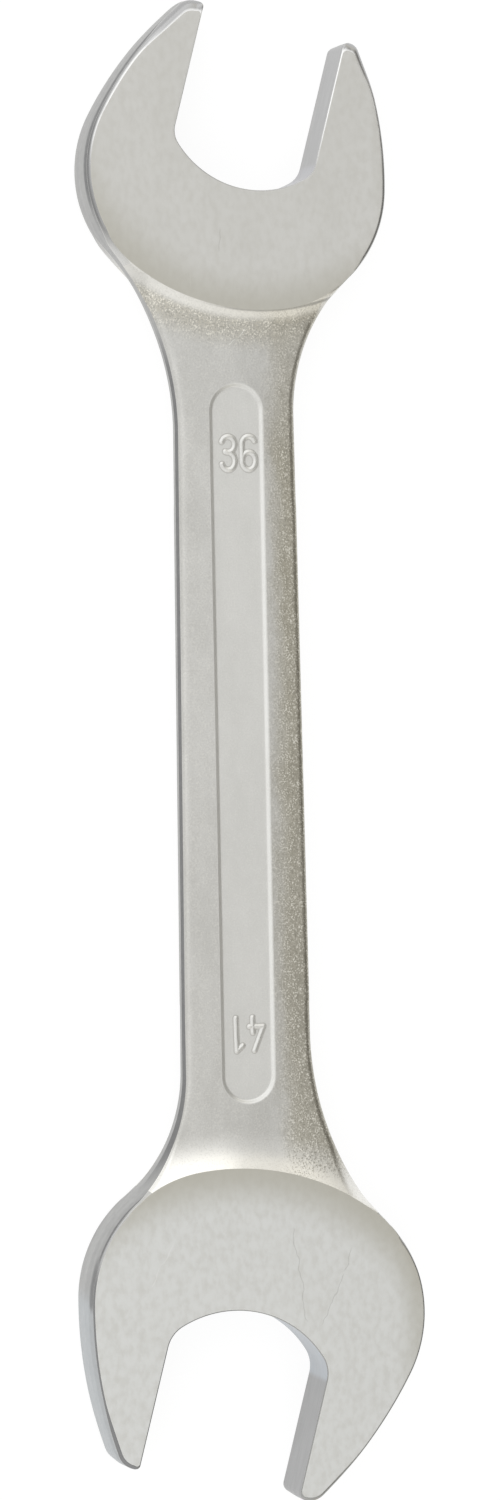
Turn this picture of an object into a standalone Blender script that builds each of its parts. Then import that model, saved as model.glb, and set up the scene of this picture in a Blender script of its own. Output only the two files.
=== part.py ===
"""Double open end wrench for 36 mm and 41 mm nuts, forged in one piece of steel.

The wrench lies flat. +X runs along the shank towards the small head, +Z comes out of the front face, and
+Y is on the left of someone who looks down on that face with the small head at the top. Sizes are in
metres. The origin is under the middle of the wrench, on the surface that the thicker head lies on.
"""

import math
from dataclasses import dataclass

import bmesh
import bpy
import numpy as np

# Jaws, and where the two nuts sit
SMALL_JAW = 0.036
LARGE_JAW = 0.041
JAW_ANGLE = math.radians(15)
NUT_SPAN = 0.3167
SMALL_NUT_OFFSET = 0.0057
LARGE_NUT_OFFSET = 0.0062

# Small head
SMALL_THICKNESS = 0.0131
SMALL_THROAT_DEPTH = 0.0226
SMALL_THROAT_RELIEF = 0.0059
SMALL_CORNER_ROUND = 0.0055
SMALL_TIP_LEFT = 0.0017
SMALL_TIP_RIGHT = 0.0018
SMALL_NOSE_LEFT = 0.0046
SMALL_NOSE_RIGHT = 0.0034
SMALL_CHEEK_WALL = 0.01975
SMALL_CHEEK_RADIUS = 0.087
SMALL_CHEEK_TURN = math.radians(13)
SMALL_SHOULDER_RADIUS = 0.0296
SMALL_BACK_RADIUS = 0.0532
SMALL_BACK_WALL = 0.029

# Large head
LARGE_THICKNESS = 0.0147
LARGE_THROAT_DEPTH = 0.0248
LARGE_THROAT_RELIEF = 0.006
LARGE_CORNER_ROUND = 0.0075
LARGE_TIP_LEFT = 0.0014
LARGE_TIP_RIGHT = 0.0022
LARGE_NOSE_LEFT = 0.0054
LARGE_NOSE_RIGHT = 0.0050
LARGE_CHEEK_WALL = 0.02192
LARGE_CHEEK_RADIUS = 0.1071
LARGE_CHEEK_TURN = math.radians(14)
LARGE_SHOULDER_RADIUS = 0.0317
LARGE_BACK_RADIUS = 0.0601
LARGE_BACK_WALL = 0.03475

# Rims: a fine one along the jaws, a head's own round its outer wall, and another at its tips
HEAD_DRAFT = math.radians(3)
RIM_ROUND = 0.00035
SMALL_RIM_ROUND = 0.0008
LARGE_RIM_ROUND = 0.0004
SMALL_TIP_RIM_ROUND = 0.0015
LARGE_TIP_RIM_ROUND = 0.0006
TIP_RIM_REACH = 0.010

# Shank: its side lines are carried on to the nuts' stations, where the two widths hold
SHANK_SMALL_WIDTH = 0.0281
SHANK_LARGE_WIDTH = 0.0333
SHANK_THICKNESS = 0.0092
SHANK_EDGE_THICKNESS = 0.0076
SHANK_EDGE_ROUND = 0.0016
SHANK_DRAFT = math.radians(5)

# Flares that lead the shank's sides into the heads; left is +Y
SMALL_FLARE_LEFT = 0.0680
SMALL_FLARE_RIGHT = 0.0455
LARGE_FLARE_LEFT = 0.0395
LARGE_FLARE_RIGHT = 0.0720
FLARE_BITE = 0.0002
SHANK_BURY = 0.004

# Webs: near a head the flare's edge thins to a low wall with a wide slope above it
SMALL_WEB_LEFT = 0.0036
SMALL_WEB_RIGHT = 0.0020
LARGE_WEB_LEFT = 0.0010
LARGE_WEB_RIGHT = 0.0034
SMALL_WEB_WALL_LEFT = 0.0014
SMALL_WEB_WALL_RIGHT = 0.0048
LARGE_WEB_WALL_LEFT = 0.0064
LARGE_WEB_WALL_RIGHT = 0.0034
WEB_REACH = 0.014
SHOULDER_WEB_SHARE = 0.5
SHOULDER_WEB_REACH = 0.013
WEB_FLAT_SHARE = 0.6

# Ramps that lift the shank's faces to the heads' ground faces
SMALL_RAMP = 0.0044
SMALL_RAMP_SIDE = 0.0054
LARGE_RAMP = 0.007
LARGE_RAMP_SIDE = 0.011
RAMP_OVERRUN = 0.0008
GROUND_STEP = 0.00004

# Sunk panel in each face of the shank, with the sizes raised on its floor. Its ends stay clear of the heads
PANEL_SMALL_MARGIN = 0.0182
PANEL_LARGE_MARGIN = 0.0159
PANEL_WIDTH = 0.0119
PANEL_ASIDE = 0.0006
PANEL_DEPTH = 0.0008
PANEL_DRAFT = math.radians(35)
NUMBER_HEIGHT = 0.0080
NUMBER_STROKE = 0.0010
NUMBER_RISE = 0.0004
NUMBER_GAP = 0.0008
NUMBER_SETBACK = 0.0160
STROKE_STEP = 0.00003

# Finish
STEEL_COLOUR = (0.62, 0.615, 0.59, 1.0)
STEEL_ROUGHNESS = 0.38

# Fineness of the faceted surfaces
ARC_FACET = 0.0024
LEAST_ARC_FACETS = 5
ROUND_FACETS = 3
ROW_COLUMNS = 22
RAMP_ROWS = 6
FLARE_ROWS = 8
SHANK_ROWS = 5
PATH_POINTS = 160
PANEL_END_FACETS = 16
STROKE_ARC_FACETS = 9

MERGE = 1e-6
SIGN = {"left": 1, "right": -1, "front": 1, "back": -1}

# The numerals' strokes, in shares of the numeral's height, from its lower left corner
NUMERAL_WIDTH_SHARE = {"1": 0.21, "3": 0.42, "4": 0.44, "6": 0.42}
NUMERAL_LINE_SHARES = {
    "1": [[(0.0, 0.84), (0.18, 1.0), (0.20, 0.0)]],
    "4": [[(0.29, 1.0), (0.0, 0.28), (0.44, 0.27)], [(0.33, 0.46), (0.34, 0.0)]],
}
LOOP_WIDTH_SHARE = 0.21
UPPER_LOOP_SHARE = 0.235
LOWER_LOOP_SHARE = 0.265
STEM_END_SHARES = (0.02, 0.25)


@dataclass
class Tip:
    """The end of one cheek in plan: an arc that leaves the jaw's flat, and a wider nose that meets the cheek."""

    side: str
    arc_radius: float
    nose_radius: float


@dataclass
class Flare:
    """One of the four curves in plan between the shank and a head."""

    side: str
    radius: float
    web: float
    web_wall: float


@dataclass
class Head:
    """One end of the wrench. Its own frame has u along the jaw, out of its mouth, and v to the left of u."""

    jaw: float
    thickness: float
    throat_depth: float
    throat_relief: float
    corner_round: float
    cheek_wall: float
    cheek_radius: float
    cheek_turn: float
    shoulder_radius: float
    back_radius: float
    back_wall: float
    nut: tuple
    heading: float
    rim_round: float
    tip_rim_round: float
    ramp: float
    ramp_side: float
    tips: tuple
    flares: tuple

    def __post_init__(self):
        """Centres of the arcs that make half of the outline, on the side where v is positive."""
        self.throat_radius = self.jaw / 2 + self.throat_relief
        self.throat_u = self.throat_radius - self.throat_depth
        self.corner_v = self.jaw / 2 - self.corner_round
        to_corner = self.throat_radius - self.corner_round
        self.corner_u = self.throat_u - math.sqrt(to_corner**2 - self.corner_v**2)
        self.back_u = self.back_radius - self.throat_depth - self.back_wall
        self.shoulder_v = self.jaw / 2 + self.cheek_wall - self.shoulder_radius
        to_shoulder = self.back_radius - self.shoulder_radius
        self.shoulder_u = self.back_u - math.sqrt(to_shoulder**2 - self.shoulder_v**2)
        self.back_turn = math.atan2(self.shoulder_v, self.back_u - self.shoulder_u)
        lean = self.cheek_radius - self.shoulder_radius
        self.cheek_u = self.shoulder_u - lean * math.sin(self.cheek_turn)
        self.cheek_v = self.shoulder_v - lean * math.cos(self.cheek_turn)

    def world(self, points):
        """Points from the head's own frame to the wrench's."""
        cos, sin = math.cos(self.heading), math.sin(self.heading)
        return np.asarray(points) @ np.array([[cos, sin], [-sin, cos]]) + self.nut

    def own(self, points):
        """Points from the wrench's frame to the head's own."""
        cos, sin = math.cos(self.heading), math.sin(self.heading)
        return (np.asarray(points) - self.nut) @ np.array([[cos, -sin], [sin, cos]])

    def own_sign(self, side):
        """Which way v runs on the wrench's left or right."""
        return SIGN[side] * math.copysign(1, math.cos(self.heading))

    def shoulder(self, side):
        """Centre of the shoulder's arc on the wrench's left or right."""
        return self.world([self.shoulder_u, self.shoulder_v * self.own_sign(side)])

    def back_on_middle(self):
        """Where the back of the outline crosses the wrench's middle line."""
        centre = self.world([self.back_u, 0])
        return centre[0] - np.sign(centre[0]) * math.sqrt(self.back_radius**2 - centre[1] ** 2)

    def foot(self, points):
        """(distance, turn) of points behind the head: how far off its outline, and the outline's turn there."""
        own = self.own(points)
        u, v = own[..., 0], own[..., 1]
        turn = np.arctan2(v, self.back_u - u)
        off = np.hypot(u - self.back_u, v) - self.back_radius
        beyond = np.abs(turn) > self.back_turn
        centre_v = np.sign(turn) * self.shoulder_v
        shoulder_turn = np.arctan2(v - centre_v, self.shoulder_u - u)
        shoulder_off = np.hypot(u - self.shoulder_u, v - centre_v) - self.shoulder_radius
        return np.where(beyond, shoulder_off, off), np.where(beyond, shoulder_turn, turn)

    def behind(self, distance, turns):
        """Points at a distance off the back of the outline, for turns from the middle of the back."""
        turns = np.asarray(turns)
        beyond = np.abs(turns) > self.back_turn
        u = np.where(beyond, self.shoulder_u, self.back_u)
        v = np.where(beyond, np.sign(turns) * self.shoulder_v, 0)
        radius = np.where(beyond, self.shoulder_radius, self.back_radius) + distance
        own = np.stack([u - radius * np.cos(turns), v + radius * np.sin(turns)], axis=-1)
        return self.world(own)


def arc(centre, radius, start, end, facing):
    """Points along an arc, each with the normal that faces out of the steel."""
    count = max(LEAST_ARC_FACETS, math.ceil(abs(end - start) * radius / ARC_FACET))
    angles = np.linspace(start, end, count + 1)
    rays = np.stack([np.cos(angles), np.sin(angles)], axis=-1)
    return np.hstack([np.asarray(centre) + radius * rays, facing * rays])


def half_outline(head, tip):
    """Half of a head's outline where v is positive: points, normals, and shares of outer wall and tip."""
    tip_v = head.jaw / 2 + tip.arc_radius
    to_nose = head.cheek_radius - tip.nose_radius
    nose_u = head.cheek_u + math.sqrt(to_nose**2 - (tip_v - head.cheek_v) ** 2)
    tip_u = nose_u + tip.nose_radius - tip.arc_radius
    corner_turn = math.atan2(head.corner_v, head.corner_u - head.throat_u)
    nose_turn = math.atan2(tip_v - head.cheek_v, nose_u - head.cheek_u)
    cheek_end = math.pi / 2 - head.cheek_turn
    quarter = math.pi / 2
    runs = [
        arc((head.throat_u, 0), head.throat_radius, math.pi, corner_turn, -1),
        arc((head.corner_u, head.corner_v), head.corner_round, corner_turn, quarter, -1),
        arc((tip_u, tip_v), tip.arc_radius, -quarter, 0, 1),
        arc((nose_u, tip_v), tip.nose_radius, 0, nose_turn, 1),
        arc((head.cheek_u, head.cheek_v), head.cheek_radius, nose_turn, cheek_end, 1),
        arc(
            (head.shoulder_u, head.shoulder_v),
            head.shoulder_radius,
            cheek_end,
            math.pi - head.back_turn,
            1,
        ),
        arc((head.back_u, 0), head.back_radius, math.pi - head.back_turn, math.pi, 1),
    ]
    flat_ends = runs[1][-1], runs[2][0]
    near_tip = flat_ends[1].copy()
    near_tip[0] = tip_u - min(TIP_RIM_REACH, tip_u - head.corner_u) / 2
    half = np.vstack([runs[0], runs[1][1:], near_tip, runs[2]] + [run[1:] for run in runs[3:]])
    outer = np.zeros(len(half))
    first_outer = len(runs[0]) + len(runs[1])
    outer[first_outer:] = np.clip((half[first_outer:, 3] + 1) / 2, 0, 1)
    from_nose = np.hypot(half[:, 0] - nose_u, half[:, 1] - tip_v) - tip.nose_radius
    near = np.clip(1 - from_nose / TIP_RIM_REACH, 0, 1)
    return np.hstack([half, outer[:, None], near[:, None]])


def head_outline(head):
    """The closed outline at the parting line, as rows of half_outline, from the middle of the throat."""
    halves = {head.own_sign(tip.side): half_outline(head, tip) for tip in head.tips}
    other = halves[-1][::-1][1:-1] * [1, -1, 1, -1, 1, 1]
    return np.vstack([halves[1], other])


def skin(bm, rings, closed):
    """Faces between each ring of points and the next; returns the rings' vertices."""
    made = [[bm.verts.new(point) for point in ring] for ring in rings]
    for low, high in zip(made, made[1:]):
        count = len(low) if closed else len(low) - 1
        for i in range(count):
            j = (i + 1) % len(low)
            bm.faces.new((low[i], low[j], high[j], high[i]))
    return made


def object_from(bm, name, collection, material=None):
    """A mesh object from a bmesh whose doubles are merged and whose faces point out."""
    bmesh.ops.remove_doubles(bm, verts=bm.verts, dist=MERGE)
    bmesh.ops.recalc_face_normals(bm, faces=bm.faces)
    mesh = bpy.data.meshes.new(name)
    bm.to_mesh(mesh)
    bm.free()
    made = bpy.data.objects.new(name, mesh)
    collection.objects.link(made)
    if material:
        mesh.materials.append(material)
    else:
        made.hide_render = True
        made.display_type = "WIRE"
    return made


def mirror_down(obj):
    """Adds the lower half to an upper half that is open at the parting line."""
    mirror = obj.modifiers.new("Lower half", "MIRROR")
    mirror.use_axis = (False, False, True)
    mirror.merge_threshold = MERGE


def ease(share):
    """A share that leaves 0 and reaches 1 without a kink."""
    kept = np.clip(share, 0, 1)
    return kept**2 * (3 - 2 * kept)


def edge_steps(width, drop, flatness):
    """(inset, rise) along an edge that is rounded over, and nearer to a straight slope as flatness grows."""
    steps = []
    for step in range(ROUND_FACETS + 1):
        share = step / ROUND_FACETS
        turn = math.pi / 2 * share
        inset = (1 - flatness) * (1 - math.cos(turn)) + flatness * share
        rise = (1 - flatness) * math.sin(turn) + flatness * share
        steps.append((width * inset, drop * rise))
    return steps


def head_body(head, name, collection):
    """The head's plate: drafted outer walls, square jaw flats, rounded rims, and slopes where the webs begin."""
    rows = head_outline(head)
    points, normals, outer, tip = rows[:, :2], rows[:, 2:4], rows[:, 4], rows[:, 5]
    places = head.world(points)
    width = RIM_ROUND + (head.rim_round - RIM_ROUND) * outer
    width += (head.tip_rim_round - width) * ease(tip) * ease(2 * outer)
    drop = width.copy()
    flat = np.zeros(len(points))
    for flare in head.flares:
        away = np.linalg.norm(places - side_path(head, flare)[0][1], axis=1)
        near = ease(1 - away / SHOULDER_WEB_REACH) * outer
        width += near * (flare.web * SHOULDER_WEB_SHARE - width)
        drop += near * (head.thickness / 2 - flare.web_wall - drop)
        flat += near * WEB_FLAT_SHARE
    wall = head.thickness / 2 - drop
    draft = outer * wall * math.tan(HEAD_DRAFT)
    rings = [np.column_stack([places, np.zeros(len(points))])]
    for inset, rise in edge_steps(width, drop, flat):
        rings.append(np.column_stack([head.world(points - normals * (draft + inset)[:, None]), wall + rise]))
    bm = bmesh.new()
    made = skin(bm, rings, closed=True)
    bm.faces.new(made[-1])
    body = object_from(bm, name, collection)
    mirror_down(body)
    return body


def half_width(x):
    """Half the shank's width at a station, along its tapering side lines."""
    share = (NUT_SPAN / 2 - x) / NUT_SPAN
    return (SHANK_SMALL_WIDTH + (SHANK_LARGE_WIDTH - SHANK_SMALL_WIDTH) * share) / 2


def side_path(head, flare):
    """One side of the shank in plan, from inside a head along its flare to the middle: points and normals."""
    side = SIGN[flare.side]
    centre = head.shoulder(flare.side)
    towards = np.sign(head.nut[0])
    start = np.array([0.0, side * half_width(0)])
    along = np.array([head.nut[0], side * half_width(head.nut[0])]) - start
    along /= np.linalg.norm(along)
    out = np.array([-along[1], along[0]]) * side * towards
    apart = head.shoulder_radius + flare.radius - FLARE_BITE
    lead = start + out * flare.radius - centre
    run = -lead @ along - math.sqrt((lead @ along) ** 2 - lead @ lead + apart**2)
    pivot = start + out * flare.radius + along * run
    inward = (centre - pivot) / np.linalg.norm(centre - pivot)
    first = math.atan2(inward[1], inward[0])
    last = math.atan2(-out[1], -out[0])
    sweep = (last - first + math.pi) % (2 * math.pi) - math.pi
    angles = first + sweep * np.linspace(0, 1, PATH_POINTS)
    rays = np.stack([np.cos(angles), np.sin(angles)], axis=-1)
    bend = pivot + flare.radius * rays
    buried = bend[0] + inward * SHANK_BURY
    shares = np.linspace(0, 1, PATH_POINTS)[1:, None]
    straight = bend[-1] * (1 - shares) + start * shares
    points = np.vstack([buried, bend, straight])
    normals = np.vstack([-rays[:1], -rays, np.repeat(out[None], len(straight), axis=0)])
    return points, normals, head.foot(bend[-1])[0]


def along_path(path, values, wanted):
    """Point and normal on a path where a value that grows along it is the wanted one."""
    both = np.hstack([path[0], path[1]])
    found = np.array([np.interp(wanted, values, both[:, i]) for i in range(4)])
    return found[:2], found[2:] / np.linalg.norm(found[2:])


def shank_top(head, points, shares):
    """Height of the shank's upper surface: its crown, lifted by the ramp near a head."""
    across = (2 * shares - 1) ** 2
    crown = (SHANK_THICKNESS - (SHANK_THICKNESS - SHANK_EDGE_THICKNESS) * across) / 2
    ramp = head.ramp + (head.ramp_side - head.ramp) * across
    edge = head.thickness / 2 * math.tan(HEAD_DRAFT)
    off = (head.foot(points)[0] + edge) / ramp
    lift = np.where(off < 0, 1 - 2 * off, np.clip(1 - off, 0, 1) ** 2)
    face = head.thickness / 2
    return np.minimum(crown + (face - crown) * lift, face + RAMP_OVERRUN)


def shank_row(head, left, right, base, distance):
    """One row of the upper half of the shank, over both edges, from its left side to its right."""
    shares = np.linspace(0, 1, ROW_COLUMNS + 1)
    near = float(ease(1 - distance / WEB_REACH))
    edges = []
    for (point, normal), share, flare in ((left, 0.0, head.flares[0]), (right, 1.0, head.flares[1])):
        width = SHANK_EDGE_ROUND + near * (flare.web - SHANK_EDGE_ROUND)
        inner = point - normal * width
        top = float(shank_top(head, inner, np.array(share)))
        plain_wall = SHANK_EDGE_THICKNESS / 2 - SHANK_EDGE_ROUND
        wall = min(plain_wall + near * (flare.web_wall - plain_wall), top - RIM_ROUND)
        run = [(*point, 0.0)]
        for inset, rise in edge_steps(width, top - wall, near * WEB_FLAT_SHARE):
            run.append((*(point - normal * (wall * math.tan(SHANK_DRAFT) + inset)), wall + rise))
        edges.append(run)
    moved_left = np.array(edges[0][-1][:2]) - base[0]
    moved_right = np.array(edges[1][-1][:2]) - base[-1]
    inner = base + moved_left * (1 - shares[:, None]) + moved_right * shares[:, None]
    heights = shank_top(head, inner, shares)
    for edge, height in ((edges[0], heights[0]), (edges[1], heights[-1])):
        edge[-1] = (*edge[-1][:2], height)
    middle = np.column_stack([inner, heights])[1:-1]
    return np.vstack([edges[0], middle, edges[1][::-1]])


def neck_rows(head):
    """The shank's rows behind one head, from inside the head to where its straight part begins."""
    paths = []
    reach = 0.0
    for flare in head.flares:
        points, normals, flare_reach = side_path(head, flare)
        paths.append((points, normals))
        reach = max(reach, float(flare_reach))
    ramp = max(head.ramp, head.ramp_side)
    distances = np.concatenate(
        [
            [-SHANK_BURY, -RAMP_OVERRUN * 2],
            np.linspace(0, ramp, RAMP_ROWS + 1),
            np.linspace(ramp, reach, FLARE_ROWS + 1)[1:],
        ]
    )
    shares = np.linspace(0, 1, ROW_COLUMNS + 1)
    rows = []
    for distance in distances:
        ends = [along_path(path, head.foot(path[0])[0], distance) for path in paths]
        turns = [float(head.foot(point)[1]) for point, _ in ends]
        offset = head.behind(distance, turns[0] + (turns[1] - turns[0]) * shares)
        chord = ends[0][0] + (ends[1][0] - ends[0][0]) * shares[:, None]
        blend = np.clip(distance / reach, 0, 1) ** 1.5
        base = offset * (1 - blend) + chord * blend
        base += (ends[0][0] - base[0]) * (1 - shares[:, None]) + (ends[1][0] - base[-1]) * shares[:, None]
        rows.append(shank_row(head, ends[0], ends[1], base, distance))
    tail = rows[0].copy()
    tail[:, 2] = 0
    return [tail] + rows


def shank_body(small, large, collection, material):
    """The shank from inside one head to inside the other."""
    small_rows = neck_rows(small)
    large_rows = neck_rows(large)
    shares = np.linspace(0, 1, SHANK_ROWS + 2)[1:-1]
    straight = [small_rows[-1] * (1 - share) + large_rows[-1] * share for share in shares]
    bm = bmesh.new()
    skin(bm, small_rows + straight + large_rows[::-1], closed=False)
    body = object_from(bm, "wrench_forging", collection, material)
    mirror_down(body)
    return body


def grinding_block(head, facing, name, collection):
    """A block that takes off what stands above a head's ground face."""
    bm = bmesh.new()
    bmesh.ops.create_cube(bm, size=1.0)
    reach = head.throat_depth + head.back_wall
    depth = head.thickness
    level = head.thickness / 2 - GROUND_STEP
    bmesh.ops.scale(bm, vec=(2 * reach, 2 * reach, depth), verts=bm.verts)
    bmesh.ops.translate(bm, vec=(*head.nut, facing * (level + depth / 2)), verts=bm.verts)
    return object_from(bm, name, collection)


def panel_ends(small, large):
    """Where the sunk panel ends along the middle line: its margin short of each head's back."""
    return small.back_on_middle() - PANEL_SMALL_MARGIN, large.back_on_middle() + PANEL_LARGE_MARGIN


def panel_outline(ends, spread):
    """The sunk panel's outline in plan, spread outwards by a distance: two half rounds and their tangents."""
    half = PANEL_WIDTH / 2
    quarter = math.pi / 2
    outline = []
    for x, start in ((ends[0] - half, -quarter), (ends[1] + half, quarter)):
        for angle in np.linspace(start, start + math.pi, PANEL_END_FACETS + 1):
            reach = half + spread
            outline.append((x + reach * math.cos(angle), PANEL_ASIDE + reach * math.sin(angle)))
    return np.array(outline)


def panel_floor():
    """Height of the sunk panel's floor above the parting line."""
    return SHANK_THICKNESS / 2 - PANEL_DEPTH


def panel_cutter(ends, facing, name, collection):
    """What is sunk into one face of the shank: a long panel with a flat floor and leaning walls."""
    levels = panel_floor(), SHANK_THICKNESS / 2 + PANEL_DEPTH
    rings = []
    for level in levels:
        outline = panel_outline(ends, (level - levels[0]) * math.tan(PANEL_DRAFT))
        rings.append(np.column_stack([outline, np.full(len(outline), facing * level)]))
    bm = bmesh.new()
    made = skin(bm, rings, closed=True)
    bm.faces.new(made[0])
    bm.faces.new(made[-1])
    return object_from(bm, name, collection)


def loop_points(centre_share, height_share, start, end):
    """Part of a numeral's oval loop, in shares of the numeral's height."""
    turns = np.radians(np.linspace(start, end, STROKE_ARC_FACETS + 1))
    across = LOOP_WIDTH_SHARE * (1 + np.cos(turns))
    return np.column_stack([across, centre_share + height_share * np.sin(turns)])


def numeral_strokes(numeral):
    """The strokes of a numeral as (points in shares of its height, whether the stroke closes on itself)."""
    if numeral in NUMERAL_LINE_SHARES:
        return [(np.array(stroke), False) for stroke in NUMERAL_LINE_SHARES[numeral]]
    upper = 1 - UPPER_LOOP_SHARE
    if numeral == "3":
        top = loop_points(upper, UPPER_LOOP_SHARE, 160, -115)
        bottom = loop_points(LOWER_LOOP_SHARE, LOWER_LOOP_SHARE, 74, -160)
        return [(top, False), (bottom, False)]
    stem = loop_points(upper, UPPER_LOOP_SHARE, 25, 180)
    loop = loop_points(LOWER_LOOP_SHARE, LOWER_LOOP_SHARE, 0, 360)[:-1]
    return [(np.vstack([stem, STEM_END_SHARES]), False), (loop, True)]


def number_objects(number, head, panel_end, facing, collection):
    """A size number raised on the panel's floor, its top towards the head that it names."""
    towards = np.sign(head.nut[0])
    end = panel_end - towards * NUMBER_SETBACK
    gap = NUMBER_GAP + NUMBER_STROKE
    widths = [NUMERAL_WIDTH_SHARE[numeral] * NUMBER_HEIGHT for numeral in number]
    across = -(sum(widths) + gap * (len(number) - 1)) / 2
    ridge = panel_floor() + NUMBER_RISE - NUMBER_STROKE / 2
    made = []
    for numeral, width in zip(number, widths):
        for points, closes in numeral_strokes(numeral):
            x = end + towards * (points[:, 1] - 0.5) * NUMBER_HEIGHT
            y = -towards * facing * (across + points[:, 0] * NUMBER_HEIGHT)
            name = f"{number}_{'front' if facing > 0 else 'back'}_stroke_{len(made)}"
            level = ridge - len(made) * STROKE_STEP
            places = np.column_stack([x, y, np.full(len(points), facing * level)])
            made.append(stroke_object(places, closes, name, collection))
        across += width + gap
    return made


def stroke_object(places, closes, name, collection):
    """One raised stroke: a round tube along the points, made a mesh so that it can be joined on."""
    curve = bpy.data.curves.new(name, "CURVE")
    curve.dimensions = "3D"
    curve.bevel_depth = NUMBER_STROKE / 2
    curve.bevel_resolution = 1
    curve.use_fill_caps = True
    spline = curve.splines.new("POLY")
    spline.points.add(len(places) - 1)
    for point, place in zip(spline.points, places):
        point.co = (*place, 1)
    spline.use_cyclic_u = closes
    tube = bpy.data.objects.new(name + "_path", curve)
    collection.objects.link(tube)
    graph = bpy.context.evaluated_depsgraph_get()
    bm = bmesh.new()
    bm.from_mesh(bpy.data.meshes.new_from_object(tube.evaluated_get(graph)))
    bpy.data.objects.remove(tube)
    return object_from(bm, name, collection)


def join_or_cut(body, operation, others):
    """Joins other solids to the body, or cuts them out of it."""
    for other in others:
        boolean = body.modifiers.new(other.name, "BOOLEAN")
        boolean.operation = operation
        boolean.object = other


def new_collection(name):
    made = bpy.data.collections.new(name)
    bpy.context.scene.collection.children.link(made)
    return made


def plated_steel():
    """Ground and plated forged steel."""
    material = bpy.data.materials.new("satin_plated_steel")
    material.use_nodes = True
    shader = material.node_tree.nodes["Principled BSDF"]
    shader.inputs["Base Color"].default_value = STEEL_COLOUR
    shader.inputs["Metallic"].default_value = 1.0
    shader.inputs["Roughness"].default_value = STEEL_ROUGHNESS
    material.diffuse_color = STEEL_COLOUR
    return material


def both_heads():
    small = Head(
        jaw=SMALL_JAW,
        thickness=SMALL_THICKNESS,
        throat_depth=SMALL_THROAT_DEPTH,
        throat_relief=SMALL_THROAT_RELIEF,
        corner_round=SMALL_CORNER_ROUND,
        cheek_wall=SMALL_CHEEK_WALL,
        cheek_radius=SMALL_CHEEK_RADIUS,
        cheek_turn=SMALL_CHEEK_TURN,
        shoulder_radius=SMALL_SHOULDER_RADIUS,
        back_radius=SMALL_BACK_RADIUS,
        back_wall=SMALL_BACK_WALL,
        nut=(NUT_SPAN / 2, -SMALL_NUT_OFFSET),
        heading=-JAW_ANGLE,
        rim_round=SMALL_RIM_ROUND,
        tip_rim_round=SMALL_TIP_RIM_ROUND,
        ramp=SMALL_RAMP,
        ramp_side=SMALL_RAMP_SIDE,
        tips=(
            Tip("left", SMALL_TIP_LEFT, SMALL_NOSE_LEFT),
            Tip("right", SMALL_TIP_RIGHT, SMALL_NOSE_RIGHT),
        ),
        flares=(
            Flare("left", SMALL_FLARE_LEFT, SMALL_WEB_LEFT, SMALL_WEB_WALL_LEFT),
            Flare("right", SMALL_FLARE_RIGHT, SMALL_WEB_RIGHT, SMALL_WEB_WALL_RIGHT),
        ),
    )
    large = Head(
        jaw=LARGE_JAW,
        thickness=LARGE_THICKNESS,
        throat_depth=LARGE_THROAT_DEPTH,
        throat_relief=LARGE_THROAT_RELIEF,
        corner_round=LARGE_CORNER_ROUND,
        cheek_wall=LARGE_CHEEK_WALL,
        cheek_radius=LARGE_CHEEK_RADIUS,
        cheek_turn=LARGE_CHEEK_TURN,
        shoulder_radius=LARGE_SHOULDER_RADIUS,
        back_radius=LARGE_BACK_RADIUS,
        back_wall=LARGE_BACK_WALL,
        nut=(-NUT_SPAN / 2, LARGE_NUT_OFFSET),
        heading=math.pi - JAW_ANGLE,
        rim_round=LARGE_RIM_ROUND,
        tip_rim_round=LARGE_TIP_RIM_ROUND,
        ramp=LARGE_RAMP,
        ramp_side=LARGE_RAMP_SIDE,
        tips=(
            Tip("left", LARGE_TIP_LEFT, LARGE_NOSE_LEFT),
            Tip("right", LARGE_TIP_RIGHT, LARGE_NOSE_RIGHT),
        ),
        flares=(
            Flare("left", LARGE_FLARE_LEFT, LARGE_WEB_LEFT, LARGE_WEB_WALL_LEFT),
            Flare("right", LARGE_FLARE_RIGHT, LARGE_WEB_RIGHT, LARGE_WEB_WALL_RIGHT),
        ),
    )
    return small, large


def resting_place(heads):
    """Where the wrench's own frame goes, so that the origin is under the middle of its box."""
    plan = np.vstack([head.world(head_outline(head)[:, :2]) for head in heads])
    middle = (plan.min(axis=0) + plan.max(axis=0)) / 2
    return (-middle[0], -middle[1], max(head.thickness for head in heads) / 2)


def main():
    for old in list(bpy.data.objects):
        bpy.data.objects.remove(old)
    part = new_collection("open_end_wrench")
    helpers = new_collection("wrench_cutters")
    small, large = both_heads()
    body = shank_body(small, large, part, plated_steel())
    blocks, panels, numbers = [], [], []
    ends = panel_ends(small, large)
    for face in ("front", "back"):
        facing = SIGN[face]
        blocks.append(grinding_block(small, facing, f"small_{face}_grinding", helpers))
        blocks.append(grinding_block(large, facing, f"large_{face}_grinding", helpers))
        panels.append(panel_cutter(ends, facing, f"{face}_panel", helpers))
        numbers += number_objects("36", small, ends[0], facing, helpers)
        numbers += number_objects("41", large, ends[1], facing, helpers)
    heads = [head_body(small, "small_head", helpers), head_body(large, "large_head", helpers)]
    join_or_cut(body, "DIFFERENCE", blocks)
    join_or_cut(body, "UNION", heads)
    join_or_cut(body, "DIFFERENCE", panels)
    join_or_cut(body, "UNION", numbers)
    place = resting_place((small, large))
    for obj in list(part.objects) + list(helpers.objects):
        obj.location = place
    body.data.shade_smooth()
    body.data.set_sharp_from_angle(angle=math.radians(30))


main()
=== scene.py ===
"""Looks of the double open end wrench: one finely meshed forging, its finishes, floor, light and camera.

The visual forging has the CAD model's plan, faces and heights, with smooth curves in place of its facets.
Shapes here are worked out in millimetres in the wrench's own frame, as in the part's source: +X towards the
small head, +Y on the left, z = 0 at the parting line. They are put in the row frame, in metres, at the end.
"""

import math
from dataclasses import dataclass

import bpy
import numpy as np
from mathutils import Matrix, Vector, geometry, kdtree


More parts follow.
